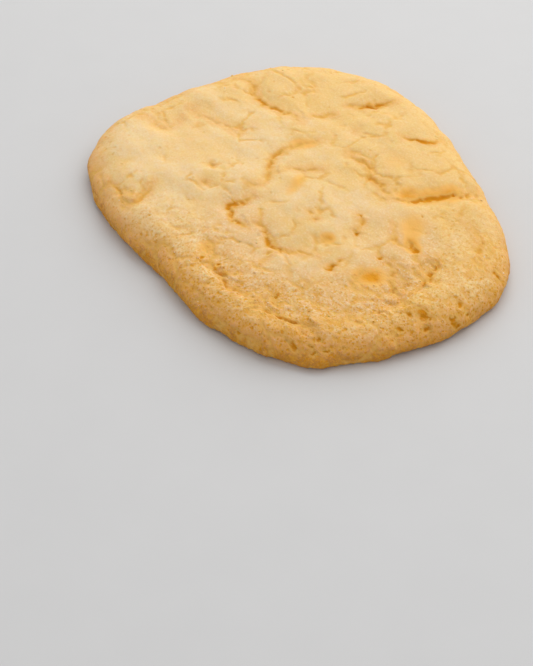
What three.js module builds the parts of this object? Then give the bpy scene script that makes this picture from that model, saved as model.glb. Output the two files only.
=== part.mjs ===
// A baked sugar cookie: one rounded slab with a flat base, a soft thick rim,
// a slightly sunken middle and a top that has split into shallow plates.
import * as THREE from 'three';
import { mergeGeometries, mergeVertices } from 'three/addons/utils/BufferGeometryUtils.js';

// Driving dimensions in millimetres, headings in degrees
const outline = { length: 83.6, width: 71.4, squareness: 2.7, originX: -1.7, originY: -0.7 };
const outlineLobes = [
  { count: 2, size: 0.033, heading: 2 },
  { count: 3, size: 0.041, heading: -6 },
  { count: 4, size: 0.016, heading: 20 },
  { count: 5, size: 0.0105, heading: 15 },
];
const rim = { height: 7.4, roll: 8.2, fullness: 2, thickSide: -95, extraHeight: 0.3, lessRoll: 1.2 };
const middle = { height: 7.6, crown: 0.9, sink: 0.6, sinkFrom: 0.9, sinkTo: 0.72, frontSide: -35 };
const foot = { height: 1.9, inset: 1.2, ragged: 0.25, teeth: 37, bunches: 8 };
const plates = { lift: 0.3, spread: 2.6 };
const wallRelief = 0.6;
const splitFloor = 0.5;
const gather = { share: 0.8, reach: 1.3 };
const grid = { across: 74, topRings: 26, rollRings: 8 };

// Broad unevenness of the top, and lumps along the wall
const topWaves = [
  { height: 0.2, length: 46, heading: 25, start: 40 },
  { height: 0.16, length: 31, heading: 110, start: 200 },
  { height: 0.1, length: 17, heading: 65, start: 90 },
  { height: 0.08, length: 13, heading: 150, start: 310 },
  { height: 0.05, length: 6.5, heading: 15, start: 20 },
  { height: 0.05, length: 5.5, heading: 100, start: 150 },
];
const wallWaves = [
  { height: 0.16, count: 11, rise: 38, start: 30 },
  { height: 0.1, count: 23, rise: -55, start: 100 },
  { height: 0.06, count: 39, rise: 80, start: 250 },
];

// Splits in the top: path as [x, y] points, width between the lips and depth
const cracks = [
  { width: 1.6, depth: 0.7, path: [[5, -27.8], [12.9, -27.2], [20, -25.3], [27.4, -23.6], [33.8, -20.4]] },
  { width: 1.6, depth: 0.8, path: [[32, -20], [34.1, -14.5], [35.5, -8.9], [34.2, -1.5], [28.6, 9.7]] },
  { width: 2.2, depth: 1.4, path: [[13, 9.8], [13.2, 14.2], [15, 17.6], [15.3, 21.3], [17.8, 25.4]] },
  { width: 1.3, depth: 0.5, path: [[13.3, 10.8], [7.3, 11.6], [2.6, 12], [-4.1, 11.1]] },
  { width: 1.5, depth: 0.7, path: [[12.8, 11.4], [11.3, 7], [13, 2.8], [17, -0.6]] },
  { width: 1.6, depth: 0.9, path: [[-4.4, -15.8], [0, -18.1], [4.4, -15.5], [10.8, -14.7], [17.4, -10.6]] },
  { width: 1.5, depth: 0.8, path: [[-3.8, -17.4], [-3.4, -11.6], [-5.6, -6], [-11.6, 2], [-10, 8.8]] },
  { width: 1.6, depth: 0.7, path: [[-6.6, -2.2], [-3.5, 3], [1, 5.5]] },
  { width: 1.5, depth: 0.7, path: [[-38.6, 6.7], [-35.3, 8.1], [-29.6, 5.5], [-24.6, 7], [-17.5, 9.2]] },
  { width: 1.4, depth: 0.6, path: [[-19, 10.9], [-17, 13.6], [-16.2, 16.8]] },
  { width: 1.6, depth: 0.8, path: [[-17.4, 21.2], [-14.4, 25.4], [-13.6, 31]] },
  { width: 1.5, depth: 0.7, path: [[-2.5, 23], [0.6, 26.1], [1.1, 31.3]] },
  { width: 1.5, depth: 0.6, path: [[-37, -17.3], [-31, -13.9], [-32.5, -9.7]] },
  { width: 1.3, depth: 0.5, path: [[-34.1, -7], [-27.1, -5.3], [-21.3, -3.1]] },
  { width: 1.5, depth: 0.7, path: [[-16.5, -34.8], [-16.5, -31.2], [-17.1, -25.6]] },
  { width: 1.3, depth: 0.5, path: [[-24, -33], [-19.4, -32.6], [-15.9, -31.2]] },
  { width: 1.3, depth: 0.5, path: [[23.6, -0.5], [26.5, 0.8], [31, -1.4]] },
  { width: 1.5, depth: 0.7, path: [[18, 7.3], [22.1, 5.4], [25.2, 7], [28.2, 7.6]] },
  { width: 1.4, depth: 0.6, path: [[25, 19.6], [29.7, 19], [33.1, 17.1], [37.4, 16.4]] },
  { width: 1.3, depth: 0.5, path: [[30.2, -21.6], [31.8, -24.3], [34.8, -24.4]] },
];

// Small holes and shallow dents where the top has fallen in
const dents = [
  { x: 20.6, y: -9.2, size: 1.6, depth: 0.9 },
  { x: 24.8, y: 7.4, size: 2.0, depth: 0.7 },
  { x: 15, y: -5.4, size: 1.6, depth: 0.5 },
  { x: 27.2, y: -8.2, size: 1.5, depth: 0.5 },
  { x: 27.1, y: -3.9, size: 3.0, depth: 0.4 },
  { x: 19.6, y: 11, size: 3.2, depth: 0.35 },
  { x: 3.4, y: 17.7, size: 3.6, depth: 0.35 },
  { x: -11, y: -16.8, size: 1.4, depth: 0.4 },
  { x: -15.1, y: -13.2, size: 1.4, depth: 0.4 },
  { x: -23, y: 16.4, size: 4.0, depth: 0.35 },
  { x: 40.4, y: -1.6, size: 1.6, depth: 0.6 },
  { x: 40, y: 6, size: 1.8, depth: 0.4 },
  { x: 38, y: -4.6, size: 1.4, depth: 0.4 },
];

const sin = (degrees) => Math.sin(THREE.MathUtils.degToRad(degrees));
const cos = (degrees) => Math.cos(THREE.MathUtils.degToRad(degrees));
const crackLines = cracks.map(({ path }) =>
  new THREE.SplineCurve(path.map(([x, y]) => new THREE.Vector2(x, y))).getPoints(8 * path.length));

// Distance from the outline's origin to its edge: a squared-off oval with a few low lobes
function outlineRadius(heading) {
  const { length, width, squareness } = outline;
  const oval = (Math.abs((2 * cos(heading)) / length) ** squareness
    + Math.abs((2 * sin(heading)) / width) ** squareness) ** (-1 / squareness);
  const lobes = outlineLobes.map((lobe) => lobe.size * cos(lobe.count * (heading - lobe.heading)));
  return oval * lobes.reduce((sum, lobe) => sum + lobe, 1);
}

const thickness = (heading) => cos(2 * (heading - rim.thickSide));
const rimHeight = (heading) => rim.height + rim.extraHeight * thickness(heading);
const rollWidth = (heading) => rim.roll - rim.lessRoll * thickness(heading);

// Height of the smooth top: rim height at the edge, a low crown in the middle
function topHeight(heading, radius) {
  const flat = outlineRadius(heading) - rollWidth(heading);
  const inward = 1 - Math.min(1, radius / flat) ** 2;
  return THREE.MathUtils.lerp(rimHeight(heading), middle.height, inward) + middle.crown * inward;
}

function wave(x, y, { height, length, heading, start }) {
  return height * sin((360 * (x * cos(heading) + y * sin(heading))) / length + start);
}

// Nearest point of a split to x, y, with how far along its length that is
function nearestOnLine(line, x, y) {
  const here = new THREE.Vector2(x, y);
  let best = { distance: Infinity };
  for (let i = 0; i + 1 < line.length; i++) {
    const run = line[i + 1].clone().sub(line[i]);
    const share = THREE.MathUtils.clamp(here.clone().sub(line[i]).dot(run) / run.lengthSq(), 0, 1);
    const point = line[i].clone().addScaledVector(run, share);
    const distance = point.distanceTo(here);
    if (distance < best.distance) best = { distance, point, along: (i + share) / (line.length - 1) };
  }
  return best;
}

// How far a point moves towards a split that is this near, so that facets follow the split's floor
const pull = (distance) => gather.share * Math.exp(-((distance / gather.reach) ** 2));

// Lowering by every split near a point; the ends of a split run out to nothing
function crackRelief(near) {
  const falls = near.map(({ distance, along }, i) => {
    const taper = Math.sqrt(Math.sin(Math.PI * along));
    const aside = distance * (1 - pull(distance));
    const open = 1 - THREE.MathUtils.smoothstep(aside, splitFloor / 2, cracks[i].width / 2);
    return cracks[i].depth * taper * open;
  });
  const nearest = Math.min(...near.map(({ distance }) => distance));
  return -Math.max(...falls) - plates.lift * Math.exp(-((nearest / plates.spread) ** 2));
}

function dentRelief(x, y) {
  return -dents.reduce((sum, dent) => {
    const away = Math.hypot(x - dent.x, y - dent.y) / dent.size;
    return sum + dent.depth * Math.exp(-(away ** 2));
  }, 0);
}

// The middle lies lower than the rim, most of all along the front
function sunkenMiddle(heading, share) {
  const front = Math.max(0, cos(heading - middle.frontSide));
  return -middle.sink * front * (1 - THREE.MathUtils.smoothstep(share, middle.sinkTo, middle.sinkFrom));
}

const waveRelief = (x, y) => topWaves.reduce((sum, one) => sum + wave(x, y, one), 0);

const wallLumps = (heading, z) => wallWaves.reduce((sum, one) =>
  sum + one.height * sin(one.count * heading + one.rise * z + one.start), 0);

// Points of the top close up along the nearest split, less so down the rim
function gathered(x, y, near, share) {
  const found = near.reduce((best, one) => (one.distance < best.distance ? one : best));
  const move = share * pull(found.distance);
  return [THREE.MathUtils.lerp(x, found.point.x, move), THREE.MathUtils.lerp(y, found.point.y, move)];
}

// Rings and spokes of a round plate from the rows and columns of a square one
function squareToDisc(u, v) {
  const share = Math.max(Math.abs(u), Math.abs(v));
  if (share === 0) return [0, 0];
  const sideways = Math.abs(u) >= Math.abs(v);
  const heading = sideways ? 45 * (v / u) + (u < 0 ? 180 : 0) : 90 - 45 * (u / v) + (v < 0 ? 180 : 0);
  return [share, heading];
}

// One point of the crust: the top, then the rolled rim, then in to the foot
function crustPoint(u, v) {
  const [share, heading] = squareToDisc(u, v);
  const ring = (share * grid.across) / 2;
  const reach = outlineRadius(heading);
  const roll = rollWidth(heading);
  const lower = grid.across / 2 - grid.topRings - grid.rollRings;
  const down = THREE.MathUtils.clamp((ring - grid.topRings) / grid.rollRings, 0, 1);
  const under = Math.max(0, (ring - grid.topRings - grid.rollRings) / lower);
  const power = 2 / rim.fullness;

  let radius = ((reach - roll) * ring) / grid.topRings;
  if (down > 0) radius = reach - roll * (1 - sin(90 * down) ** power);
  radius -= foot.inset * (1 - cos(90 * under));
  let x = outline.originX + radius * cos(heading);
  let y = outline.originY + radius * sin(heading);
  const near = crackLines.map((line) => nearestOnLine(line, x, y));
  [x, y] = gathered(x, y, near, 1 - down);

  const edgeX = x - outline.originX;
  const edgeY = y - outline.originY;
  const height = topHeight(heading, Math.hypot(edgeX, edgeY));
  const fall = Math.max(0, cos(90 * down)) ** power;
  let z = foot.height * (1 - sin(90 * under)) + (height - foot.height) * fall;

  const sunk = sunkenMiddle(heading, radius / reach);
  const lift = (crackRelief(near) + dentRelief(x, y) + waveRelief(x, y) + sunk) * (1 - under);
  const teeth = foot.ragged * under * sin(foot.teeth * heading) * sin(foot.bunches * heading);
  const outward = wallRelief * lift * sin(90 * down) + wallLumps(heading, z) * down + teeth;
  z += lift * cos(90 * down);
  x += outward * cos(heading);
  y += outward * sin(heading);
  return [x, y, z];
}

function crust() {
  const sheet = new THREE.PlaneGeometry(2, 2, grid.across, grid.across);
  const place = sheet.attributes.position;
  const flat = sheet.clone();
  for (let i = 0; i < place.count; i++) {
    place.setXYZ(i, ...crustPoint(place.getX(i), place.getY(i)));
  }
  sheet.setIndex(diagonalsAlongTheForm(flat, sheet));
  return sheet;
}

// Each square splits along the diagonal that lies closer to the form at the square's centre
function diagonalsAlongTheForm(flat, formed) {
  const order = flat.index.array;
  const at = (sheet, i) => new THREE.Vector3().fromBufferAttribute(sheet.attributes.position, i);
  const faces = [];
  for (let i = 0; i < order.length; i += 6) {
    const [a, b, d, , c] = order.slice(i, i + 6);
    const middleOf = (sheet, p, q) => at(sheet, p).lerp(at(sheet, q), 0.5);
    const centre = middleOf(flat, b, d);
    const form = new THREE.Vector3(...crustPoint(centre.x, centre.y));
    const turned = middleOf(formed, a, c).distanceTo(form) < middleOf(formed, b, d).distanceTo(form);
    faces.push(...(turned ? [a, b, c, a, c, d] : [a, b, d, b, c, d]));
  }
  return faces;
}

// The flat base spans the last ring of the crust
function base() {
  const half = grid.across / 2;
  const side = Array.from({ length: grid.across }, (_, i) => i / half - 1);
  const corners = [
    ...side.map((s) => [s, -1]),
    ...side.map((s) => [1, s]),
    ...side.map((s) => [-s, 1]),
    ...side.map((s) => [-1, -s]),
  ];
  const ring = corners.map(([u, v]) => new THREE.Vector2(...crustPoint(u, v)));
  const sheet = new THREE.ShapeGeometry(new THREE.Shape(ring));
  const order = Array.from(sheet.index.array);
  sheet.setIndex(order.map((_, i) => order[i - (i % 3) + 2 - (i % 3)]));
  return sheet;
}

function cookieGeometry() {
  const sheets = [crust(), base()];
  sheets.forEach((sheet) => {
    sheet.deleteAttribute('normal');
    sheet.deleteAttribute('uv');
  });
  const solid = mergeVertices(mergeGeometries(sheets), 1e-3);
  solid.computeBoundingBox();
  const centre = solid.boundingBox.getCenter(new THREE.Vector3());
  solid.translate(-centre.x, -centre.y, 0);
  solid.computeVertexNormals();
  return solid;
}

function bakedCrust() {
  return new THREE.MeshStandardMaterial({ color: 0xe6be82, roughness: 0.85, metalness: 0 });
}

const cookie = new THREE.Mesh(cookieGeometry(), bakedCrust());
cookie.name = 'cookie';

const sugarCookie = new THREE.Group();
sugarCookie.add(cookie);

export default sugarCookie;
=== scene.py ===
import math
import bmesh
import bpy
import numpy as np
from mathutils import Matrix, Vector


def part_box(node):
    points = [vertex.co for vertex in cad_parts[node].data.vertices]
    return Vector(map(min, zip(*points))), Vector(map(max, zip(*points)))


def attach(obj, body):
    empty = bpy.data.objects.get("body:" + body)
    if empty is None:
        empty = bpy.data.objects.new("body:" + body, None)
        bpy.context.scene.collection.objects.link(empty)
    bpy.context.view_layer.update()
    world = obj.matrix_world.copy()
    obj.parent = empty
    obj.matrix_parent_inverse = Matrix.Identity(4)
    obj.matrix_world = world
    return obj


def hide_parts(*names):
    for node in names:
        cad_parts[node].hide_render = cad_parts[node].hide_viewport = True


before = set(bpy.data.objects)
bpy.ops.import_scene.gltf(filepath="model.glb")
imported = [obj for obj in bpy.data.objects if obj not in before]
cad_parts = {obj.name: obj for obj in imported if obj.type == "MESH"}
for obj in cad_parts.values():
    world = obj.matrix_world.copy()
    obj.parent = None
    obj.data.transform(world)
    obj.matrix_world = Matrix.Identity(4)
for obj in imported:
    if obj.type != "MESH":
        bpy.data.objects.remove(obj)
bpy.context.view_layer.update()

mm = 0.001
print("frame loaded")


# A node's value; Python operators on it add Math or Vector Math nodes

class Value:
    def __init__(self, nodes, socket):
        self.nodes = nodes
        self.socket = socket

    def combine(self, operation, first, second):
        vector = any(isinstance(v, (tuple, Vector)) or getattr(v, "isVector", False) for v in (first, second))
        if not vector:
            return self.nodes.add("ShaderNodeMath", {"operation": operation}, {0: first, 1: second})
        if operation == "MULTIPLY" and not isinstance(second, tuple) and not getattr(second, "isVector", False):
            return self.nodes.add("ShaderNodeVectorMath", {"operation": "SCALE"}, {"Vector": first, "Scale": second})
        return self.nodes.add("ShaderNodeVectorMath", {"operation": operation}, {0: first, 1: second})

    @property
    def isVector(self):
        return self.socket.type == "VECTOR"

    def __add__(self, other):
        return self.combine("ADD", self, other)

    def __radd__(self, other):
        return self.combine("ADD", other, self)

    def __sub__(self, other):
        return self.combine("SUBTRACT", self, other)

    def __rsub__(self, other):
        return self.combine("SUBTRACT", other, self)

    def __mul__(self, other):
        return self.combine("MULTIPLY", self, other)

    def __rmul__(self, other):
        return self.combine("MULTIPLY", self, other)

    def __truediv__(self, other):
        return self.combine("DIVIDE", self, other)

    def __rtruediv__(self, other):
        return self.combine("DIVIDE", other, self)


# A node tree that is written as expressions

class Nodes:
    def __init__(self, tree):
        self.tree = tree
        tree.nodes.clear()

    def add(self, kind, settings=None, inputs=None, output=0):
        node = self.tree.nodes.new(kind)
        for name, setting in (settings or {}).items():
            setattr(node, name, setting)
        for name, value in (inputs or {}).items():
            socket = self.find(node.inputs, name)
            if isinstance(value, Value):
                self.tree.links.new(value.socket, socket)
            else:
                socket.default_value = value
        return Value(self, self.find(node.outputs, output)) if len(node.outputs) else node

    def find(self, sockets, name):
        if isinstance(name, int):
            return [s for s in sockets if s.enabled][name]
        return next(s for s in sockets if s.enabled and s.name == name)

    def noise(self, place, size, detail=2.0, roughness=0.5, output=0):
        return self.add("ShaderNodeTexNoise", {}, {
            "Vector": place, "Scale": 1 / size, "Detail": detail, "Roughness": roughness}, output)

    def cells(self, place, size, feature="F1", output="Distance", randomness=1.0):
        return self.add("ShaderNodeTexVoronoi", {"feature": feature}, {
            "Vector": place, "Scale": 1 / size, "Randomness": randomness}, output)

    # 0 below low, 1 above high, with a soft step between; high to low turns it round
    def step(self, value, low, high):
        turned = low > high
        low, high = min(low, high), max(low, high)
        return self.add("ShaderNodeMapRange", {"interpolation_type": "SMOOTHSTEP"}, {
            "Value": value, "From Min": low, "From Max": high,
            "To Min": float(turned), "To Max": float(not turned)})

    def mix(self, first, second, factor):
        colours = [c if isinstance(c, Value) else (*c, 1) for c in (first, second)]
        return self.add("ShaderNodeMix", {"data_type": "RGBA"}, {"Factor": factor, "A": colours[0], "B": colours[1]})

    def largest(self, first, second):
        return self.add("ShaderNodeMath", {"operation": "MAXIMUM"}, {0: first, 1: second})


# The cookie's form: millimetres and degrees, in the frame's directions

cookieForm = {
    "outline": {"length": 83.6, "width": 71.4, "squareness": 2.7, "originX": -1.7, "originY": -0.7},
    "lobes": [(2, 0.033, 2), (3, 0.041, -6), (4, 0.016, 20), (5, 0.0105, 15)],  # count, size, heading
    "rim": {"height": 7.4, "roll": 8.2, "fullness": 2, "thickSide": -95, "extraHeight": 0.3, "lessRoll": 1.2},
    "middle": {"height": 7.6, "crown": 0.9, "sink": 0.6, "sinkFrom": 0.9, "sinkTo": 0.72,
               "frontSide": -35, "easeIn": 0.4},
    "foot": {"height": 1.9, "inset": 1.2, "ragged": 0.12, "teeth": 37, "bunches": 8},
    "topWaves": [  # height, length, heading, start
        (0.2, 46, 25, 40), (0.16, 31, 110, 200), (0.1, 17, 65, 90),
        (0.08, 13, 150, 310), (0.05, 6.5, 15, 20), (0.05, 5.5, 100, 150)],
    "wallWaves": [(0.16, 11, 38, 30), (0.1, 23, -55, 100), (0.06, 39, 80, 250)],  # height, count, rise, start
    "dents": [  # x, y, size, depth, stain
        (20, -8.7, 1.6, 0.5, 0.3), (24.3, 7.6, 1.4, 0.45, 1.1), (22.6, 8.1, 1.3, 0.3, 0.7),
        (20.4, 9.6, 2.6, 0.1, 0.35), (14, -5, 1.5, 0.25, 0.9), (26.4, -7.7, 1.5, 0.3, 0.2),
        (25.2, -4.9, 2.2, 0.25, 0.7), (26.9, -2.4, 2.2, 0.25, 0.7), (26.6, -3.3, 1.1, 0.1, 0.4),
        (18.8, 11.5, 3.2, 0.35, 0.4), (2.6, 18.2, 3.6, 0.35, 0.3), (-3.2, 0.2, 1.6, 0.03, 0.36),
        (-2, -1.7, 1.6, 0.03, 0.42), (-0.8, -3.8, 1.7, 0.03, 0.36), (-12.8, 5.3, 1.7, 0.18, 0.55),
        (-11.4, 7.7, 1.7, 0.18, 0.55), (-11.8, -16.3, 1.4, 0.3, 0.2), (-15.9, -12.7, 1.4, 0.3, 0.2),
        (-23.8, 16.9, 4, 0.35, 0.2), (11.8, 14.9, 2.4, 0.2, 0.9), (13.8, 19.1, 2.2, 0.2, 0.8),
        (15.2, 23.1, 2.4, 0.2, 0.9), (3, -25.2, 2, 0.1, 0.6), (40.1, -1.6, 1.6, 0.5, 0.3),
        (39.7, 6, 1.8, 0.4, 0.2), (37.7, -4.6, 1.4, 0.4, 0.1)],
    "reliefOnWall": 0.6,
    "crumbly": {"frontSide": -35, "from": 0.5, "to": 0.76, "wall": 0.45},
    "sandy": {"x": 11.2, "y": -5.5, "reach": 22.8, "soft": 1.2, "sunk": 0.4,
              "awayFrom": 0.1, "awayTo": 0.9, "frontTo": 0.8},
    "lip": {"heading": -29.5, "spread": 4.5, "size": 0.7, "from": 0.8},
    "topGrid": {"across": 296, "topRings": 104, "rollRings": 34},
    "baseGrid": {"across": 100, "margin": 0.985},
    "boxMargin": {"side": 0.1, "top": 0.2},
}


def sine(degrees):
    return np.sin(np.radians(degrees))


def cosine(degrees):
    return np.cos(np.radians(degrees))


def outlineRadius(heading):
    outline = cookieForm["outline"]
    power = outline["squareness"]
    across = np.abs(2 * cosine(heading) / outline["length"]) ** power
    along = np.abs(2 * sine(heading) / outline["width"]) ** power
    lobes = sum(size * cosine(count * (heading - turn)) for count, size, turn in cookieForm["lobes"])
    return (across + along) ** (-1 / power) * (1 + lobes)


def topHeight(heading, radius, roll):
    rim, middle = cookieForm["rim"], cookieForm["middle"]
    edge = rim["height"] + rim["extraHeight"] * cosine(2 * (heading - rim["thickSide"]))
    inward = 1 - np.clip(radius / (outlineRadius(heading) - roll), 0, 1) ** 2
    return edge + (middle["height"] - edge + middle["crown"]) * inward


def softStep(value, low, high):
    t = np.clip((value - low) / (high - low), 0, 1)
    return t * t * (3 - 2 * t)


# 1 in the sunken, sandy part that the front of the rim runs round
def sandyShare(x, y, heading, share):
    sandy = cookieForm["sandy"]
    away = np.hypot(x - sandy["x"], y - sandy["y"]) / sandy["reach"]
    edge = 1 - softStep(away, 1 - sandy["soft"] / sandy["reach"], 1 + sandy["soft"] / sandy["reach"])
    middle = cookieForm["middle"]
    front = softStep(cosine(heading - middle["frontSide"]), 0, sandy["frontTo"])
    return edge * softStep(away, sandy["awayFrom"], sandy["awayTo"]) * front * softStep(share, 0, middle["easeIn"])


def topRelief(x, y, heading, share):
    middle = cookieForm["middle"]
    waves = sum(height * sine(360 * (x * cosine(turn) + y * sine(turn)) / length + start)
                for height, length, turn, start in cookieForm["topWaves"])
    falls, stains = (sum(dent[kind] * np.exp(-((x - dent[0]) ** 2 + (y - dent[1]) ** 2) / dent[2] ** 2)
                         for dent in cookieForm["dents"]) for kind in (3, 4))
    front = np.maximum(0, cosine(heading - middle["frontSide"])) * softStep(share, 0, middle["easeIn"])
    sunk = middle["sink"] * front * (1 - softStep(share, middle["sinkTo"], middle["sinkFrom"]))
    sunk = sunk + cookieForm["sandy"]["sunk"] * sandyShare(x, y, heading, share)
    return waves - falls - sunk, stains


def squareToDisc(u, v):
    share = np.maximum(np.abs(u), np.abs(v))
    sideways = np.abs(u) >= np.abs(v)
    with np.errstate(divide="ignore", invalid="ignore"):
        east = 45 * np.where(u == 0, 0, v / u) + np.where(u < 0, 180, 0)
        north = 90 - 45 * np.where(v == 0, 0, u / v) + np.where(v < 0, 180, 0)
    return share, np.where(share == 0, 0, np.where(sideways, east, north))


# The crust from the middle of the top, over the rolled rim and in to the foot
def crustPoints(u, v):
    rim, foot, grid, outline = (cookieForm[k] for k in ("rim", "foot", "topGrid", "outline"))
    share, heading = squareToDisc(u, v)
    ring = share * grid["across"] / 2
    down = np.clip((ring - grid["topRings"]) / grid["rollRings"], 0, 1)
    lower = grid["across"] / 2 - grid["topRings"] - grid["rollRings"]
    under = np.maximum(0, (ring - grid["topRings"] - grid["rollRings"]) / lower)
    reach = outlineRadius(heading)
    roll = rim["roll"] - rim["lessRoll"] * cosine(2 * (heading - rim["thickSide"]))
    power = 2 / rim["fullness"]
    radius = np.where(down > 0, reach - roll * (1 - sine(90 * down) ** power), (reach - roll) * ring / grid["topRings"])
    radius -= foot["inset"] * (1 - cosine(90 * under))
    x = outline["originX"] + radius * cosine(heading)
    y = outline["originY"] + radius * sine(heading)
    fall = np.maximum(0, cosine(90 * down)) ** power
    z = foot["height"] * (1 - sine(90 * under)) + (topHeight(heading, radius, roll) - foot["height"]) * fall
    relief, stains = topRelief(x, y, heading, radius / reach)
    lift = relief * (1 - under)
    lumps = sum(height * sine(count * heading + rise * z + start)
                for height, count, rise, start in cookieForm["wallWaves"])
    teeth = foot["ragged"] * under * sine(foot["teeth"] * heading) * sine(foot["bunches"] * heading)
    lip = cookieForm["lip"]
    lowDown = np.maximum(under, (down - lip["from"]) / (1 - lip["from"])) * (down > lip["from"])
    lipShare = np.exp(-((heading - lip["heading"]) / lip["spread"]) ** 2) * lowDown
    outward = cookieForm["reliefOnWall"] * lift * sine(90 * down) + lumps * down + teeth + lip["size"] * lipShare
    points = np.stack([x + outward * cosine(heading), y + outward * sine(heading), z + lift * cosine(90 * down)], -1)
    crumbly = cookieForm["crumbly"]
    front = np.maximum(0, cosine(heading - crumbly["frontSide"]))
    rough = np.clip(front * softStep(radius / reach, crumbly["from"], crumbly["to"]) + crumbly["wall"] * down, 0, 1)
    sand = sandyShare(x, y, heading, radius / reach)
    return points, {"wall": down, "toast": stains, "crumbly": rough, "sandy": sand, "under": 0 * down}


def gridOf(across):
    steps = np.linspace(-1, 1, across + 1)
    u, v = np.meshgrid(steps, steps, indexing="xy")
    corner = np.arange((across + 1) ** 2).reshape(across + 1, across + 1)
    quads = np.stack([corner[:-1, :-1], corner[:-1, 1:], corner[1:, 1:], corner[1:, :-1]], -1).reshape(-1, 4)
    return u.ravel(), v.ravel(), quads


# The flat base: the crust's last ring drawn in towards the middle
def basePoints(u, v):
    share, heading = squareToDisc(u, v)
    onEdge = np.where(share > 0, share, 1)
    edge, _ = crustPoints(u / onEdge, v / onEdge)
    outline = cookieForm["outline"]
    centre = np.array([outline["originX"], outline["originY"], 0])
    inward = (share * cookieForm["baseGrid"]["margin"])[:, None]
    points = centre + (edge - centre) * inward
    points[:, 2] = 0
    return points, {"wall": 0 * share + 1, "toast": 0 * share, "crumbly": 0 * share, "sandy": 0 * share,
                    "under": 0 * share + 1}


def joinedSheets():
    u, v, quads = gridOf(cookieForm["topGrid"]["across"])
    top, topMarks = crustPoints(u, v)
    u, v, baseQuads = gridOf(cookieForm["baseGrid"]["across"])
    base, baseMarks = basePoints(u, v)
    points = np.concatenate([top, base])
    low, high = points.min(0), points.max(0)
    points[:, :2] -= (low[:2] + high[:2]) / 2
    mesh = bpy.data.meshes.new("cookieForm")
    faces = np.concatenate([quads, baseQuads[:, ::-1] + len(top)])
    mesh.from_pydata((points * mm).tolist(), [], faces.tolist())
    for name in topMarks:
        mark = mesh.attributes.new(name, "FLOAT", "POINT")
        mark.data.foreach_set("value", np.concatenate([topMarks[name], baseMarks[name]]).astype(np.float32))
    form = bmesh.new()
    form.from_mesh(mesh)
    bmesh.ops.bridge_loops(form, edges=[e for e in form.edges if e.is_boundary])
    form.to_mesh(mesh)
    form.free()
    return mesh


# Splits and pits as guide points that carry a half width, a depth and a stain; z is given on the wall only

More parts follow.
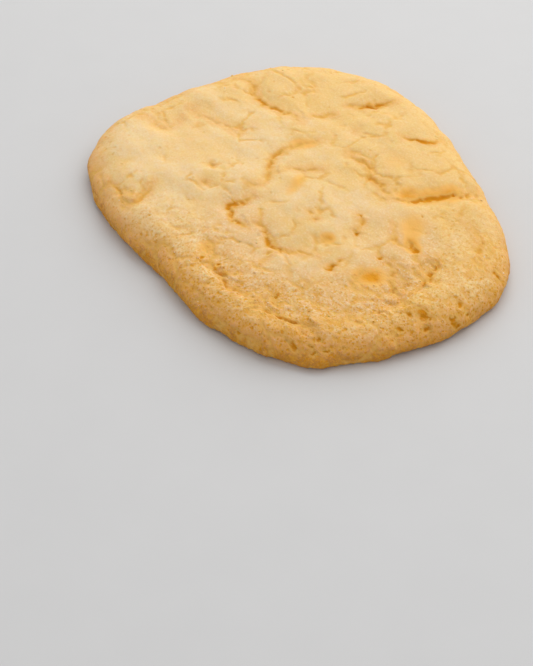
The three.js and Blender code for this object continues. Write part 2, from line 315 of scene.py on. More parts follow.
splitForm = {
    "splits": [  # width, depth, sunk beside it, stain, path
        (1.1, 0.42, 0.84, 0.8, [(4.2, -28.9), (7.1, -27.8), (11, -26.7), (14, -27.3), (17.3, -26), (20, -24.7)]),
        (1.2, 0.51, 1.05, 0.9, [(20, -24.7), (23.8, -24.7), (27, -23.4), (29.7, -21.4), (33, -19.7)]),
        (1.2, 0.17, 0.56, 0.5, [(31.2, -19.5), (33.3, -14), (34.7, -8.4)]),
        (1.61, 0.38, 0.6, 1, [(11, 11.1), (12.3, 13.6), (13.6, 15.9), (14.2, 18.1), (14.9, 20), (15.4, 22.1),
                              (16.2, 24.3), (17.2, 26.7), (18.2, 29.4)]),
        (1.15, 0.29, 0.4, 0.72, [(-4.9, 11.6), (-1.8, 12.4), (1.8, 12.5), (4, 11.5), (6.5, 11.9), (11.6, 12.3)]),
        (1.15, 0.38, 0.5, 0.96, [(-4.2, -10.3), (-4, -12), (-4.1, -15.8), (-2.7, -16.9), (-0.8, -17.6),
                                 (2.5, -16.2), (4.4, -15.8)]),
        (1.15, 0.38, 0.5, 0.96, [(1.8, -14.2), (4, -13.8), (8.3, -14.9), (11.9, -13.9), (13.7, -11.9), (16.6, -10.1)]),
        (1.15, 0.32, 0.4, 0.72, [(-6.8, -9.4), (-6.2, -6.3), (-7.1, -4.9), (-10.2, -2.9), (-12.4, 2.5), (-10.8, 9.3)]),
        (1.03, 0.22, 0.3, 0.5, [(-7, -1.5), (-5.8, 1), (-4.5, 3.3), (-2.8, 5.3)]),
        (1.15, 0.32, 0.5, 0.84, [(-39.4, 7.2), (-36.1, 8.1), (-30.4, 6.4), (-27.6, 6.8), (-25.3, 8.2), (-18.3, 9.6)]),
        (1.03, 0.22, 0.3, 0.6, [(-19.8, 11.4), (-18, 14.5), (-16.6, 16.9)]),
        (1.15, 0.35, 0.4, 0.96, [(-17.8, 20.5), (-15.7, 22.9), (-15.1, 25.4), (-14.2, 30)]),
        (1.15, 0.32, 0.4, 1, [(-3.3, 23.5), (-0.8, 25.8), (0.4, 27.7), (0.8, 31.5)]),
        (1.03, 0.22, 0.4, 0.24, [(-37.8, -16.8), (-31.8, -13.4), (-33.3, -9.2)]),
        (0.92, 0.2, 0.35, 0.24, [(-34.9, -6.5), (-27.9, -4.8), (-22.1, -2.6)]),
        (1.15, 0.26, 0.6, 0.6, [(-18.3, -32.5), (-15.7, -31.9), (-16, -28.5), (-17.9, -25.1)]),
        (0.92, 0.26, 0.5, 0.72, [(-24.8, -32.5), (-20.2, -32.1), (-16.7, -30.7)]),
        (0.69, 0.2, 0.2, 0.6, [(17.2, 7.8), (19.4, 6.4), (21.5, 5.7), (23.3, 6.1)]),
        (0.69, 0.2, 0.2, 0.72, [(11.7, -16.6), (12.5, -19.8)]),
        (0.95, 0.33, 0.2, 1, [(36.3, 17.7, 5.8), (37.7, 17.9, 4.8)]),
        (0.95, 0.39, 0.2, 1, [(31.4, -24.7, 5.3), (32.4, -24.9, 4.3), (33, -24.9, 3.5), (33.7, -24.5, 2.7)]),
        (0.95, 0.33, 0.1, 1, [(34.8, -22.5, 4), (35.5, -22.3, 3.2)]),
        (0.95, 0.33, 0.1, 1, [(36.2, -20.4, 4.2), (36.8, -20.6, 3)]),
        (0.95, 0.33, 0.1, 1, [(37.7, -17.3, 4.6), (38.3, -17.3, 3.7)]),
        (0.95, 0.33, 0.1, 1, [(33.7, -22.3, 5), (34.5, -22.6, 4.2)]),
        (0.95, 0.33, 0.1, 1, [(23.1, -30.9, 4.3), (23.7, -31.1, 3.4), (24.2, -31.2, 2.3)]),
        (1.1, 0.52, 0.3, 1, [(41.1, -2.3, 4.9), (42, -1.7, 4.4), (42.3, -0.7, 4.3)]),
        (0.95, 0.33, 0.2, 1, [(40.7, -1.8, 5.4), (40.3, -0.6, 5.7), (41.1, -0.9, 5.2)]),
        (0.95, 0.33, 0.2, 1, [(42, 6.8, 4.6), (42.5, 7.2, 3.8)]),
        (0.95, 0.33, 0.2, 1, [(42.4, 8.6, 3.7), (42.8, 8.9, 2.5)]),
        (0.95, 0.33, 0.2, 1, [(41.5, 4.4, 5.1), (42, 4.7, 4.5)]),
        (1.15, 0.45, 0.98, 0.95, [(28.2, 10.3), (29.9, 9.6), (30.2, 8.6), (30.8, 6.5), (31.3, 5.8), (32.1, 3.6),
                                  (32.4, 2.1), (32.4, 1), (32.8, -0.2)]),
        (1, 0.3, 0.84, 0.5, [(32.8, -0.2), (33.8, -2.2), (34.4, -3.6), (33.8, -6.2), (34.1, -7.1)]),
        (1, 0.55, 0.7, 0.95, [(33.9, -6.4), (34.1, -7.1), (34.8, -8.2)]),
        (1.26, 0.38, 0.2, 1, [(22, 8), (23.1, 7.8), (24.8, 7.6), (25.6, 7.4), (26.2, 7.9)]),
        (1.03, 0.3, 0.3, 0.7, [(23.4, 0.5), (25.4, 1.3), (27.4, 0.6), (29.7, -0.6), (31.4, -1.7), (32.6, -3.2)]),
        (1.03, 0.26, 0.35, 0.72, [(24.5, 20.3), (26.5, 20.2), (28.9, 19.5), (31.2, 18), (33.8, 16.4), (35.3, 16.7)]),
        (1.03, 0.22, 0.25, 0.72, [(18.4, 6.6), (20, 6.5), (21.5, 5.7), (23.4, 6.2)]),
        (1.03, 0.26, 0.2, 0.72, [(12.2, 3.5), (14.2, 2), (15.7, 0.7)]),
    ],
    "pits": [  # half width, depth, stain, place
        (0.63, 0.47, 1, (20.2, -8.5)), (0.46, 0.34, 1, (20.5, -9.4)), (0.42, 0.34, 0.95, (20.6, -7.7)),
        (0.42, 0.34, 0.95, (20.2, -6.5)), (0.46, 0.42, 1, (8.2, -25.7)), (0.52, 0.42, 1, (8.6, -27)),
        (0.42, 0.34, 1, (5.1, -26.9)), (0.52, 0.42, 1, (5.8, -28.1)), (0.57, 0.42, 1, (17.3, -26)),
        (0.46, 0.34, 1, (16.3, -26.7)), (0.46, 0.38, 1, (20.1, -24.8)), (0.46, 0.42, 1, (22, -24.8)),
        (0.42, 0.34, 1, (21.1, -21.2)), (0.42, 0.34, 0.95, (22.6, -22.6)), (0.42, 0.34, 0.95, (11.3, -26.2)),
        (0.42, 0.34, 0.7, (12.4, -24.6)), (0.42, 0.34, 0.7, (12.9, -28.7)), (0.42, 0.34, 0.7, (16.9, -28.2)),
        (0.46, 0.34, 0.7, (11.3, -16.6)), (0.42, 0.34, 0.95, (13.2, -13)), (0.42, 0.34, 0.7, (15, -11.4)),
        (0.42, 0.34, 0.95, (15.4, 0.7)), (0.42, 0.34, 0.95, (23.4, 0.5)), (0.42, 0.34, 0.5, (6.2, -4.2)),
        (0.42, 0.34, 0.5, (8.3, -4.6)), (0.69, 0.42, 0.95, (-4.2, -14.7)), (0.42, 0.34, 0.7, (6.6, -14.5)),
        (0.57, 0.34, 0.4, (-16.1, -12.6)), (0.57, 0.34, 0.4, (-11.8, -16.3)), (0.57, 0.34, 0.4, (-9.7, 17.2)),
        (0.46, 0.34, 0.6, (-0.8, 12.8)), (0.42, 0.34, 0.7, (29.2, -0.4)), (0.42, 0.34, 0.7, (31.2, -1.7)),
        (0.42, 0.34, 0.6, (35.7, 12.7)), (0.5, 0.33, 1, (34.3, -20.3, 5.5)), (0.5, 0.33, 1, (38, -2.8, 6.5)),
        (0.5, 0.33, 1, (39, -0.7, 6.2)), (0.5, 0.33, 1, (39.8, -6.5, 5.5)), (0.5, 0.33, 1, (40.7, 7, 5.5)),
        (0.5, 0.33, 1, (42.6, 3.9, 4)), (0.5, 0.33, 1, (43, 4.6, 3.2)), (0.55, 0.42, 1, (32.2, 3.6)),
        (0.5, 0.38, 1, (30.1, 9)), (0.45, 0.34, 1, (12.2, 3.5)), (0.4, 0.3, 0.95, (14.2, 2)),
        (0.45, 0.34, 1, (15.7, 0.7)), (0.5, 0.38, 1, (23.3, 0.5)), (0.5, 0.33, 1, (39.8, -1, 5.9)),
        (0.6, 0.39, 1, (40.6, -0.5, 5.5)), (0.5, 0.33, 1, (42, 4.3, 5)), (0.5, 0.33, 1, (40.5, 7, 5.6)),
        (0.55, 0.39, 1, (36.9, 17.7, 5.4)), (0.5, 0.33, 1, (37.7, 17.6, 4.9))],
    "sunkAtPits": 0.25,
    "spacing": 0.12,
}


# A smooth line through the points, by the Catmull-Rom rule
def smoothPath(path, spacing):
    points = np.array(path, float)
    padded = np.concatenate([[2 * points[0] - points[1]], points, [2 * points[-1] - points[-2]]])
    line = []
    for a, b, c, d in zip(padded, padded[1:], padded[2:], padded[3:]):
        t = np.linspace(0, 1, max(2, int(np.linalg.norm(c - b) / spacing)), endpoint=False)[:, None]
        bend, twist = 2 * a - 5 * b + 4 * c - d, 3 * b - a - 3 * c + d
        line.append(0.5 * (2 * b + (c - a) * t + bend * t ** 2 + twist * t ** 3))
    return np.concatenate(line)


def splitGuides():
    onTop = cookieForm["middle"]["height"]
    guides = []
    for width, depth, sunk, stain, path in splitForm["splits"]:
        line = smoothPath([(*point, onTop)[:3] for point in path], splitForm["spacing"])
        taper = np.sqrt(np.sin(np.pi * (np.arange(len(line)) + 0.5) / len(line)))
        guides.append(np.column_stack([line, width / 2 * taper, depth * taper, sunk * taper, stain * taper]))
    for halfWidth, depth, stain, place in splitForm["pits"]:
        guides.append([[*(*place, onTop)[:3], halfWidth, depth, splitForm["sunkAtPits"], stain]])
    guides = np.concatenate(guides)
    mesh = bpy.data.meshes.new("splitGuides")
    mesh.from_pydata((guides[:, :3] * mm).tolist(), [], [])
    for column, (name, unit) in enumerate({"halfWidth": mm, "splitDepth": mm, "sunk": mm, "splitStain": 1}.items(), 3):
        mark = mesh.attributes.new(name, "FLOAT", "POINT")
        mark.data.foreach_set("value", (guides[:, column] * unit).astype(np.float32))
    return bpy.data.objects.new("splitGuides", mesh)


# Crust relief by Geometry Nodes

crustRelief = {
    "Split Wander": 2.6 * mm,
    "Split Ragged": 1.3 * mm,
    "Chop Size": 1.3 * mm,
    "Trough Reach": 4.0 * mm,
    "Plate Size": 10.0 * mm,
    "Plate Height": 0.9 * mm,
    "Swell Size": 6.0 * mm,
    "Swell Height": 0.6 * mm,
    "Fissure Cell": 6.5 * mm,
    "Fissure Depth": 0.22 * mm,
    "Pit Cell": 2.0 * mm,
    "Pit Depth": 0.25 * mm,
    "Chunk Size": 1.2 * mm,
    "Chunk Height": 0.22 * mm,
    "Crumb Size": 0.8 * mm,
    "Crumb Height": 0.15 * mm,
}


reliefPattern = {
    "wanderNoise": 3.4 * mm,
    "raggedNoise": 1.1 * mm,
    "chopped": (0.37, 0.57),
    "alwaysOpen": (0.9, 1.0),  # stain from which a split isn't broken up
    "lipGap": 1.1,
    "stainGap": (2.4, 0.4),
    "creaseReach": 1.2 * mm,
    "creaseShare": 0.55,
    "patchNoise": 9 * mm,
    "patches": (0.42, 0.6),
    "bendNoise": 4 * mm,
    "bend": 4 * mm,
    "fissureEdge": 0.11,
    "fissureStain": 0.5,
    "pitStretch": (1.0, 1.0, 0.45),
    "pitNoise": 0.9 * mm,
    "pitWarp": 1.3 * mm,
    "pitRim": (0.22, 0.04),
    "pitChance": (0.95, 1.0),
    "domeTop": 0.2,
    # plate joints, which the crust material tints as painted shade
    "plateJoint": (0.0, -0.2),
    "plateJointShare": 0.6,
    # chunk and crumb height counted as hollow, where the crust material paints shade
    "hollow": (0.05, -0.3),
}
domeForm = {  # noise size, warp and smoothness of the rounded plates, chunks and crumbs
    "Plate": (8 * mm, 7 * mm, 0.5),
    "Chunk": (2 * mm, 1.2 * mm, 0.3),
    "Crumb": (1 * mm, 0.5 * mm, 0.2),
}


def newTree(name, sockets):
    tree = bpy.data.node_groups.new(name, "GeometryNodeTree")
    tree.interface.new_socket(name="Geometry", in_out="INPUT", socket_type="NodeSocketGeometry")
    for socket, kind in sockets.items():
        tree.interface.new_socket(name=socket, in_out="INPUT", socket_type=kind)
    tree.interface.new_socket(name="Geometry", in_out="OUTPUT", socket_type="NodeSocketGeometry")
    return tree


def groupInput(nodes):
    node = nodes.tree.nodes.new("NodeGroupInput")
    return {socket.name: Value(nodes, socket) for socket in node.outputs if socket.name}


# Puts the tree on the piece, takes the result as a plain mesh and removes the modifier
def applyTree(piece, tree, values):
    modifier = piece.modifiers.new(tree.name, "NODES")
    modifier.node_group = tree
    named = {item.name: item.identifier for item in tree.interface.items_tree if item.in_out == "INPUT"}
    for name, value in values.items():
        modifier[named[name]] = value
    made = piece.evaluated_get(bpy.context.evaluated_depsgraph_get())
    mesh = bpy.data.meshes.new_from_object(made)
    piece.modifiers.clear()
    piece.data = mesh
    return piece


def storeMark(nodes, geometry, name, value):
    return nodes.add("GeometryNodeStoreNamedAttribute", {"data_type": "FLOAT", "domain": "POINT"}, {
        "Geometry": geometry, "Name": name, "Value": value})


def readMark(nodes, name):
    return nodes.add("GeometryNodeInputNamedAttribute", {"data_type": "FLOAT"}, {"Name": name})


def crustReliefTree():
    sockets = {name: "NodeSocketFloat" for name in crustRelief}
    tree = newTree("crustRelief", {"Guides": "NodeSocketObject", "Material": "NodeSocketMaterial", **sockets})
    nodes = Nodes(tree)
    given = groupInput(nodes)
    place = nodes.add("GeometryNodeInputPosition")
    normal = nodes.add("GeometryNodeInputNormal")
    under, crumbly = readMark(nodes, "under"), readMark(nodes, "crumbly")
    pattern = reliefPattern

    def shift(size, detail, roughness=0.5):
        return nodes.noise(place, size, detail, roughness, "Color") - (0.5, 0.5, 0.5)

    def cellsOf(place, cell, output, settings=None, inputs=None):
        inputs = {"Vector": place, "Scale": 1 / cell, **(inputs or {})}
        return nodes.add("ShaderNodeTexVoronoi", settings, inputs, output)

    # guide points laid on the crust, found from a place that wanders so that the lips are ragged
    original = {"transform_space": "ORIGINAL"}
    guides = nodes.add("GeometryNodeObjectInfo", original, {"Object": given["Guides"]}, "Geometry")
    onCrust = nodes.add("GeometryNodeProximity", {"target_element": "FACES"}, {0: given["Geometry"]}, "Position")
    guides = nodes.add("GeometryNodeSetPosition", {}, {"Geometry": guides, "Position": onCrust})
    wander = shift(pattern["wanderNoise"], 1.0) * given["Split Wander"]
    wander = wander + shift(pattern["raggedNoise"], 2.0, 0.6) * given["Split Ragged"]
    off = nodes.add("ShaderNodeVectorMath", {"operation": "DOT_PRODUCT"}, {0: wander, 1: normal}, "Value")
    here = place + wander - normal * off
    nearest = nodes.add("GeometryNodeSampleNearest", {"domain": "POINT"}, {"Geometry": guides, "Sample Position": here})

    def fromGuide(value, kind="FLOAT"):
        return nodes.add("GeometryNodeSampleIndex", {"data_type": kind, "domain": "POINT"}, {
            "Geometry": guides, "Value": value, "Index": nearest})

    guidePlace = fromGuide(nodes.add("GeometryNodeInputPosition"), "FLOAT_VECTOR")
    gap = nodes.add("ShaderNodeVectorMath", {"operation": "DISTANCE"}, {0: here, 1: guidePlace}, "Value")
    halfWidth, depth, sunk, stain = (
        fromGuide(readMark(nodes, name)) for name in ("halfWidth", "splitDepth", "sunk", "splitStain"))
    chop = nodes.add("ShaderNodeTexNoise", {}, {"Vector": place, "Scale": 1 / given["Chop Size"], "Detail": 2.0})
    chop = nodes.step(chop, *pattern["chopped"])
    kept = nodes.largest(chop, nodes.step(stain, *pattern["alwaysOpen"]))
    opening = nodes.step(gap / (halfWidth * (kept * 0.8 + 0.45)), pattern["lipGap"], 0.0) * (kept * 0.85 + 0.15)
    stained = nodes.step(gap / halfWidth, *pattern["stainGap"]) * (kept * 0.7 + 0.3) * stain
    # 1 beside a split, fading over Trough Reach; it sinks the crust and also carries painted shade
    trough = nodes.step(gap / given["Trough Reach"], 1.0, 0.0)

    # short fissures along distorted cell edges, in patches and broken up
    patch = nodes.step(nodes.noise(place, pattern["patchNoise"], 2.0, 0.5) + crumbly * 0.05, *pattern["patches"])
    bent = place + shift(pattern["bendNoise"], 3.0, 0.6) * pattern["bend"]
    edge = cellsOf(bent, given["Fissure Cell"], "Distance", {"feature": "DISTANCE_TO_EDGE"})
    fissure = nodes.step(edge, pattern["fissureEdge"], 0.0) * patch * (chop * 0.6 + 0.4)

    # open pits, in some cells only, drawn out along the wall's height
    tall = nodes.add("ShaderNodeVectorMath", {"operation": "MULTIPLY"}, {0: place, 1: pattern["pitStretch"]})
    torn = tall + shift(pattern["pitNoise"], 1.0) * pattern["pitWarp"]
    chance = nodes.add("ShaderNodeSeparateXYZ", {}, {"Vector": cellsOf(torn, given["Pit Cell"], "Color")}, "X")
    pit = nodes.step(cellsOf(torn, given["Pit Cell"], "Distance"), *pattern["pitRim"])
    pit = pit * nodes.step(chance + crumbly * 0.35, *pattern["pitChance"])

    # rounded plates, soft swells, and the chunks and crumbs of the dough where it is crumbly
    def domes(name):
        noiseSize, warp, smoothness = domeForm[name]
        away = cellsOf(place + shift(noiseSize, 1.0) * warp, given[name + " Size"], "Distance",
                       {"feature": "SMOOTH_F1"}, {"Smoothness": smoothness})
        return pattern["domeTop"] - away * away

    plate, chunk, crumb = domes("Plate"), domes("Chunk"), domes("Crumb")
    swell = nodes.add("ShaderNodeTexNoise", {}, {"Vector": place, "Scale": 1 / given["Swell Size"], "Detail": 1.0})

    fall = opening * depth + trough * sunk
    fall = fall + fissure * given["Fissure Depth"] + pit * given["Pit Depth"]
    rise = plate * given["Plate Height"] + (swell - 0.5) * given["Swell Height"]
    rise = rise + chunk * given["Chunk Height"] * (crumbly * 0.85 + 0.15)
    rise = rise + crumb * given["Crumb Height"] * (crumbly * 0.75 + 0.25)
    onTop = normal * ((rise - fall) * (1 - under))
    onBase = normal * (pit * given["Pit Depth"] * under * -1.0)
    crease = nodes.step(gap / pattern["creaseReach"], 1.0, 0.0) * stain * pattern["creaseShare"]
    split = nodes.largest(nodes.largest(stained, crease), fissure * pattern["fissureStain"])
    # The troughs beside splits and the plates' joints are marked for the crust material, which tints them gold and
    # brown: partly painted shade, partly a browner crust there.
    jointShade = nodes.step(plate, *pattern["plateJoint"]) * pattern["plateJointShare"]
    marks = {"split": split, "trough": nodes.largest(trough, jointShade), "pit": pit,
             # painted shade: hollow is 1 in the hollows between chunks and crumbs, tinted honey in the crust material
             "hollow": nodes.step(chunk + crumb, *pattern["hollow"])}
    marked = given["Geometry"]
    for name, value in marks.items():
        marked = storeMark(nodes, marked, name, value)
    moved = nodes.add("GeometryNodeSetPosition", {}, {"Geometry": marked, "Offset": onTop + onBase})
    smooth = nodes.add("GeometryNodeSetShadeSmooth", {}, {"Geometry": moved})
    whole = nodes.add("GeometryNodeRealizeInstances", {}, {"Geometry": smooth})
    nodes.add("NodeGroupOutput", {}, {"Geometry": nodes.add("GeometryNodeSetMaterial", {}, {
        "Geometry": whole, "Material": given["Material"]})})
    return tree


# Materials

crustColours = {
    "pale": (0.855, 0.625, 0.335),
    "tan": (0.81, 0.535, 0.275),
    "golden": (0.84, 0.56, 0.23),
    "amber": (0.90, 0.50, 0.13),
    "toast": (0.80, 0.33, 0.01),
    "gold": (0.86, 0.565, 0.20),
    # honey is also painted shade in hollows and in the grain's low spots
    "honey": (0.76, 0.36, 0.03),
    # brown and deep stand for baked browning and also paint shade on the wall and at the foot; brown also paints shade
    # in troughs
    "brown": (0.82, 0.42, 0.145),
    "deep": (0.50, 0.19, 0.016),
    "caramel": (0.80, 0.45, 0.11),
    "crevice": (0.68, 0.26, 0.003),
    # light is also painted highlight on the grain's high spots
    "light": (0.93, 0.76, 0.53),
    "base": (0.47, 0.245, 0.075),
    "baseDark": (0.33, 0.15, 0.04),
    # painted shade in the base's pores, which are only bumps
    "basePoreShade": (0.18, 0.07, 0.015),
}


crustPattern = {
    "broad": 17 * mm,
    "mottle": 4.5 * mm,
    "cloud": 1.6 * mm,
    "sand": 0.4 * mm,
    "jitterNoise": 0.5 * mm,
    "jitter": 0.6 * mm,
    "farSideShadeAcross": 110 * mm,  # painted shade: the far side, where the window light falls strongest, is tinted more golden and darker
    "brownAcross": 320 * mm,
    "golden": (0.58, 0.96),
    # ranges for the wall's brown and the foot's deep brown, partly painted shade
    "brown": (0.3, 0.96),
    "deep": (0.78, 1.08),
    "amber": (0.2, 0.6),
    "toast": (0.4, 1.1),
    "porousBase": 0.8,
    "poreChance": (0.93, 1.0),
    "widePores": (1.3 * mm, 0.08, 0.38, 0.55),  # cell, clear inside, edge, more of them where porous
    "tinyPores": (0.6 * mm, 0.1, 0.5, 0.6),
}
crustFinish = {"IOR": 1.45, "Specular IOR Level": 0.15, "Subsurface Weight": 0.4,
               "Subsurface Radius": (1.0, 0.5, 0.2), "Subsurface Scale": 0.35 * mm}
crustBump = {"Strength": 0.7, "Distance": 0.2 * mm}
crystalColours = {"honeyed": (0.88, 0.70, 0.42), "clear": (0.93, 0.80, 0.58)}
crystalFinish = {"Roughness": 0.25, "IOR": 1.54, "Subsurface Weight": 0.3,
                 "Subsurface Radius": (1.0, 0.8, 0.6), "Subsurface Scale": 0.5 * mm}


def newMaterial(name):
    material = bpy.data.materials.new(name)
    material.use_nodes = True
    return material, Nodes(material.node_tree)


def finishMaterial(nodes, inputs):
    nodes.add("ShaderNodeOutputMaterial", {}, {"Surface": nodes.add("ShaderNodeBsdfPrincipled", {}, inputs)})


def shaderMark(nodes, name):
    return nodes.add("ShaderNodeAttribute", {"attribute_name": name}, {}, "Fac")


def bakedCrust():
    material, nodes = newMaterial("bakedCrust")
    pattern = crustPattern
    place = nodes.add("ShaderNodeTexCoord", {}, {}, "Object")
    split, trough, pit, hollow, wall, toast, crumbly, sandy, under = (shaderMark(nodes, name) for name in (
        "split", "trough", "pit", "hollow", "wall", "toast", "crumbly", "sandy", "under"))
    broad = nodes.noise(place, pattern["broad"], 3.0, 0.5)
    mottle = nodes.noise(place, pattern["mottle"], 4.0, 0.6)
    cloud = nodes.noise(place, pattern["cloud"], 3.0, 0.6)
    sand = nodes.noise(place, pattern["sand"], 2.0, 0.6)
    across = nodes.add("ShaderNodeSeparateXYZ", {}, {"Vector": place}, "Y")
    jitter = nodes.noise(place, pattern["jitterNoise"], 2.0, 0.6, "Color") - (0.5, 0.5, 0.5)
    jittered = place + jitter * pattern["jitter"]
    porous = nodes.largest(crumbly, under * pattern["porousBase"])

    # small open pores, many of them where the dough is crumbly and all over the base
    def pores(name):
        size, low, high, more = pattern[name]
        cell = nodes.cells(jittered, size, "F1", "Color")
        chance = nodes.add("ShaderNodeSeparateXYZ", {}, {"Vector": cell}, "X")
        return nodes.step(nodes.cells(jittered, size), high, low) * nodes.step(
            chance + porous * more, *pattern["poreChance"])

    wide = pores("widePores") * (porous * 0.6 + 0.4)
    tiny = pores("tinyPores") * (porous * 0.9 + 0.1)

    # lower rises down the wall and slightly towards -Y; the brown and deep it drives are partly baked browning, partly
    # painted shade on the wall, darkest at the foot
    lower = wall - across / pattern["brownAcross"] + (broad - 0.5) * 0.5 + (cloud - 0.5) * 0.5
    poreColour = nodes.mix(crustColours["honey"], crustColours["crevice"], wall * 0.8)
    opened = nodes.largest(split, pit)
    baseColour = nodes.mix(crustColours["base"], crustColours["baseDark"], nodes.step(mottle + sand * 0.4, 0.55, 0.9))
    # painted shade: the base's pores, which are only bumps, are darkened
    baseColour = nodes.mix(baseColour, crustColours["basePoreShade"], nodes.largest(wide, tiny) * 0.8)
    colour = nodes.mix(crustColours["pale"], crustColours["light"], crumbly * 0.2)
    for tint, share in (  # each lies over those before it
        # golden: random tone, plus painted shade towards the far side
        ("golden", nodes.step(broad + mottle * 0.5 + across / pattern["farSideShadeAcross"], *pattern["golden"])),
        # partly painted shade, partly a browner crust: gold in troughs and plate joints
        ("gold", trough * (nodes.step(mottle, 0.3, 0.6) * 0.5 + 0.3)),
        ("gold", nodes.step(cloud, 0.45, 0.62) * (crumbly * 0.3 + 0.4)),
        ("tan", sandy * 0.75),
        # painted shade: brown in the deepest troughs and plate joints
        ("brown", nodes.step(trough, 0.5, 1.0) * 0.4),
        # partly baked browning, partly painted shade on the wall
        ("brown", nodes.step(lower + crumbly * 0.1, *pattern["brown"]) * 0.95),
        # partly browning, partly painted shade at the foot, where it meets what it rests on
        ("deep", nodes.step(lower + (sand - 0.5) * 0.5, *pattern["deep"]) * 0.85),
        # partly the grain's own tone, partly painted light: light where sand, and with it the bump, is high (painted
        # highlight), honey where sand and cloud are low (painted shade)
        ("light", nodes.step(sand, 0.5, 0.7) * (sandy * 0.2 + 0.22) * (wall * -0.6 + 1.0)),
        ("honey", nodes.step(sand, 0.5, 0.3) * (crumbly * 0.6 + 0.15)),
        ("honey", nodes.step(cloud, 0.5, 0.34) * (crumbly * 0.6 + 0.05)),
        # painted shade: honey in the hollows between chunks and crumbs
        ("honey", hollow * (crumbly * 0.35 + 0.05)),
        (poreColour, nodes.largest(wide, tiny)),
        ("amber", nodes.step(toast + mottle * 0.2, *pattern["amber"]) * 0.9),
        ("toast", nodes.step(toast + (mottle + sand - 1.0) * 0.3, *pattern["toast"]) * 0.95),
        ("caramel", nodes.step(opened, 0.0, 0.5) * 0.9),
        ("crevice", nodes.step(opened, 0.4, 0.95) * 0.95),
        (baseColour, under),
    ):
        colour = nodes.mix(colour, crustColours[tint] if isinstance(tint, str) else tint, share)

    rough = nodes.step(mottle, 0.2, 0.8) * 0.15 + 0.72
    height = sand * (porous * 0.5 + 0.2) + cloud * (porous * 0.6 + 0.4) - wide - tiny * 0.5
    bump = nodes.add("ShaderNodeBump", {}, {**crustBump, "Height": height})
    finishMaterial(nodes, {"Base Color": colour, "Roughness": rough, "Normal": bump, **crustFinish})
    return material


def sugarCrystal():
    material, nodes = newMaterial("sugarCrystal")
    place = nodes.add("ShaderNodeTexCoord", {}, {}, "Object")
    tint = nodes.mix(crystalColours["honeyed"], crystalColours["clear"], nodes.noise(place, 1.5 * mm))
    finishMaterial(nodes, {"Base Color": tint, **crystalFinish})
    return material


# The cookie piece

crustMaterial = bakedCrust()


def linkPiece(name, mesh):
    piece = bpy.data.objects.new(name, mesh)
    bpy.context.scene.collection.objects.link(piece)
    return piece


# Keeps a finished mesh a little inside the node's own box
def fitInBox(piece, side, top):
    low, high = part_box("cookie")
    points = np.zeros(len(piece.data.vertices) * 3, np.float32)
    piece.data.vertices.foreach_get("co", points)
    points = points.reshape(-1, 3)
    least, most = points.min(0), points.max(0)
    room = np.array([high.x - low.x - 2 * side, high.y - low.y - 2 * side, high.z - low.z - top])
    scale = np.minimum(1, room / (most - least))
    middle = np.array([(least[0] + most[0]) / 2, (least[1] + most[1]) / 2, 0])
    points = (points - middle) * scale
    points[:, 2] = np.maximum(points[:, 2], 0)
    piece.data.vertices.foreach_set("co", points.ravel().astype(np.float32))
    piece.data.update()


guides = splitGuides()
bpy.context.scene.collection.objects.link(guides)
cookie = linkPiece("crackedCookie", joinedSheets())
print("form made", len(cookie.data.polygons))
applyTree(cookie, crustReliefTree(), {**crustRelief, "Guides": guides, "Material": crustMaterial})
bpy.data.objects.remove(guides)
fitInBox(cookie, cookieForm["boxMargin"]["side"] * mm, cookieForm["boxMargin"]["top"] * mm)
print("relief made", len(cookie.data.polygons))


# Sugar crystals and crumbs that stick to the top

sugarForm = {"Density": 90000.0, "Smallest": 0.12 * mm, "Largest": 0.3 * mm, "Sunk": 0.03 * mm, "Seed": 7}
crumbForm = {"Density": 60000.0, "Smallest": 0.25 * mm, "Largest": 0.7 * mm, "Sunk": 0.08 * mm, "Seed": 23}


scatterPattern = {
    "patchNoise": 9 * mm,
    "patches": (0.35, 0.65),
    "upright": (0.55, 0.8),
    "whereCrumbly": 0.95,
    "anywhere": 0.05,
    "leastStretch": (0.7, 0.7, 0.6),
    "mostStretch": (1.3, 1.1, 1.0),
}


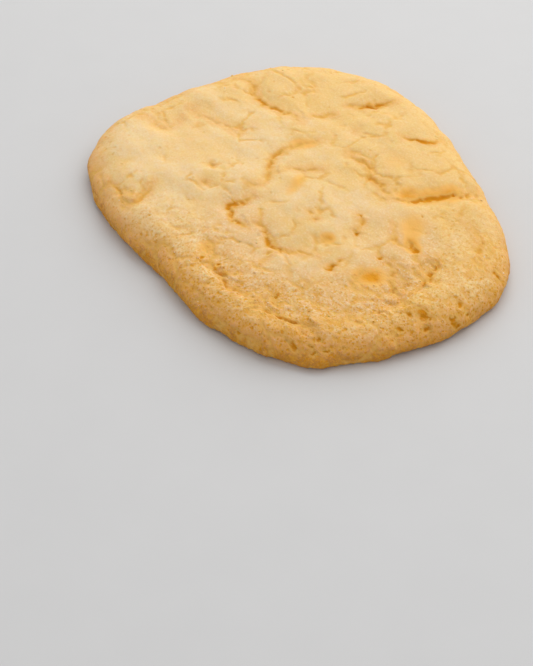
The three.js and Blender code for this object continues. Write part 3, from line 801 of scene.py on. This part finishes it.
def scatterTree(name, makeShape):
    tree = newTree(name, {
        "Cookie": "NodeSocketObject", "Material": "NodeSocketMaterial", "Density": "NodeSocketFloat",
        "Smallest": "NodeSocketFloat", "Largest": "NodeSocketFloat", "Sunk": "NodeSocketFloat",
        "Seed": "NodeSocketInt"})
    nodes = Nodes(tree)
    given = groupInput(nodes)
    pattern = scatterPattern
    original = {"transform_space": "ORIGINAL"}
    surface = nodes.add("GeometryNodeObjectInfo", original, {"Object": given["Cookie"]}, "Geometry")
    place = nodes.add("GeometryNodeInputPosition")
    upward = nodes.add("ShaderNodeSeparateXYZ", {}, {"Vector": nodes.add("GeometryNodeInputNormal")}, "Z")
    patches = nodes.step(nodes.noise(place, pattern["patchNoise"], 2.0), *pattern["patches"])
    crumbly = readMark(nodes, "crumbly") * pattern["whereCrumbly"] + pattern["anywhere"]
    density = given["Density"] * patches * nodes.step(upward, *pattern["upright"]) * crumbly
    scattered = nodes.tree.nodes.new("GeometryNodeDistributePointsOnFaces")
    for socket, value in (("Mesh", surface), ("Density", density), ("Seed", given["Seed"])):
        tree.links.new(value.socket, nodes.find(scattered.inputs, socket))
    normal = Value(nodes, scattered.outputs["Normal"])
    points = nodes.add("GeometryNodeSetPosition", {}, {
        "Geometry": Value(nodes, scattered.outputs["Points"]), "Offset": normal * (given["Sunk"] * -1.0)})
    size = nodes.add("FunctionNodeRandomValue", {"data_type": "FLOAT"}, {
        "Min": given["Smallest"], "Max": given["Largest"], "Seed": 3})
    turn = nodes.add("FunctionNodeRandomValue", {"data_type": "FLOAT_VECTOR"}, {
        "Min": (0.0, 0.0, 0.0), "Max": (math.tau, math.tau, math.tau), "Seed": 4})
    stretch = nodes.add("FunctionNodeRandomValue", {"data_type": "FLOAT_VECTOR"}, {
        "Min": pattern["leastStretch"], "Max": pattern["mostStretch"], "Seed": 5})
    placed = nodes.add("GeometryNodeInstanceOnPoints", {}, {
        "Points": points, "Instance": makeShape(nodes), "Rotation": turn, "Scale": stretch * size})
    whole = nodes.add("GeometryNodeRealizeInstances", {}, {"Geometry": placed})
    nodes.add("NodeGroupOutput", {}, {"Geometry": nodes.add("GeometryNodeSetMaterial", {}, {
        "Geometry": whole, "Material": given["Material"]})})
    return tree


def crystalShape(nodes):
    return nodes.add("GeometryNodeMeshCube", {}, {"Size": (1.0, 0.8, 0.7)}, "Mesh")


def crumbShape(nodes):
    ball = nodes.add("GeometryNodeMeshIcoSphere", {}, {"Radius": 0.5, "Subdivisions": 1}, "Mesh")
    knobs = nodes.noise(nodes.add("GeometryNodeInputPosition"), 0.5, 2.0, 0.5, "Color") - (0.5, 0.5, 0.5)
    lumpy = nodes.add("GeometryNodeSetPosition", {}, {"Geometry": ball, "Offset": knobs * 0.5})
    return nodes.add("GeometryNodeSetShadeSmooth", {}, {"Geometry": lumpy})


def scatterPiece(name, form, makeShape, material):
    piece = linkPiece(name, bpy.data.meshes.new(name))
    applyTree(piece, scatterTree(name, makeShape), {**form, "Cookie": cookie, "Material": material})
    print(name, len(piece.data.polygons))
    return piece


sugar = scatterPiece("sugarGrains", sugarForm, crystalShape, sugarCrystal())
crumbs = scatterPiece("looseCrumbs", crumbForm, crumbShape, crustMaterial)

for piece in (cookie, sugar, crumbs):
    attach(piece, "root")
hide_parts("cookie")


# Floor, light and camera; right, away and up are as the camera sees them

viewForm = {"azimuth": 58, "elevation": 44, "distance": 0.42, "lens": 122.4, "sensor": 36, "clipStart": 0.01,
            "target": (0.0235, -0.0248, 0)}
floorForm = {"size": 3.0, "colour": (0.635, 0.63, 0.625), "darker": 0.96, "mottle": 12 * mm, "roughness": 0.6}
lightForm = {
    "window": {"place": (0.22, 0.42, 0.45), "size": 0.9, "power": 3.7, "colour": (1.0, 0.985, 0.96)},
    "sky": {"colour": (0.97, 0.98, 1.0), "strength": 0.66},
}


def inView(right, away, up):
    turn = math.radians(viewForm["azimuth"])
    return Vector((math.cos(turn) * right - math.sin(turn) * away, math.sin(turn) * right + math.cos(turn) * away, up))


def makeFloor():
    half = floorForm["size"] / 2
    mesh = bpy.data.meshes.new("floor")
    mesh.from_pydata([(-half, -half, 0), (half, -half, 0), (half, half, 0), (-half, half, 0)], [], [(0, 1, 2, 3)])
    material, nodes = newMaterial("paleFloor")
    place = nodes.add("ShaderNodeTexCoord", {}, {}, "Object")
    darker = tuple(c * floorForm["darker"] for c in floorForm["colour"])
    colour = nodes.mix(floorForm["colour"], darker, nodes.noise(place, floorForm["mottle"], 4.0))
    finishMaterial(nodes, {"Base Color": colour, "Roughness": floorForm["roughness"]})
    mesh.materials.append(material)
    linkPiece("floor", mesh)


def makeLight(name):
    form = lightForm[name]
    light = bpy.data.lights.new(name, "AREA")
    light.size, light.energy, light.color = form["size"], form["power"], form["colour"]
    lamp = bpy.data.objects.new(name, light)
    lamp.location = inView(*form["place"])
    lamp.rotation_euler = (-lamp.location).to_track_quat("-Z", "Y").to_euler()
    bpy.context.scene.collection.objects.link(lamp)


def makeSky():
    world = bpy.data.worlds.new("sky")
    world.use_nodes = True
    background = world.node_tree.nodes["Background"]
    background.inputs["Color"].default_value = (*lightForm["sky"]["colour"], 1)
    background.inputs["Strength"].default_value = lightForm["sky"]["strength"]
    bpy.context.scene.world = world


def makeCamera():
    turn, rise = math.radians(viewForm["azimuth"]), math.radians(viewForm["elevation"])
    back = Vector((math.sin(turn) * math.cos(rise), -math.cos(turn) * math.cos(rise), math.sin(rise)))
    data = bpy.data.cameras.new("camera")
    data.lens, data.sensor_width, data.clip_start = viewForm["lens"], viewForm["sensor"], viewForm["clipStart"]
    camera = bpy.data.objects.new("camera", data)
    camera.location = Vector(viewForm["target"]) + back * viewForm["distance"]
    camera.rotation_euler = (-back).to_track_quat("-Z", "Y").to_euler()
    bpy.context.scene.collection.objects.link(camera)
    bpy.context.scene.camera = camera


makeFloor()
makeLight("window")
makeSky()
makeCamera()
bpy.context.scene.view_settings.view_transform = "Standard"
print("stage made")
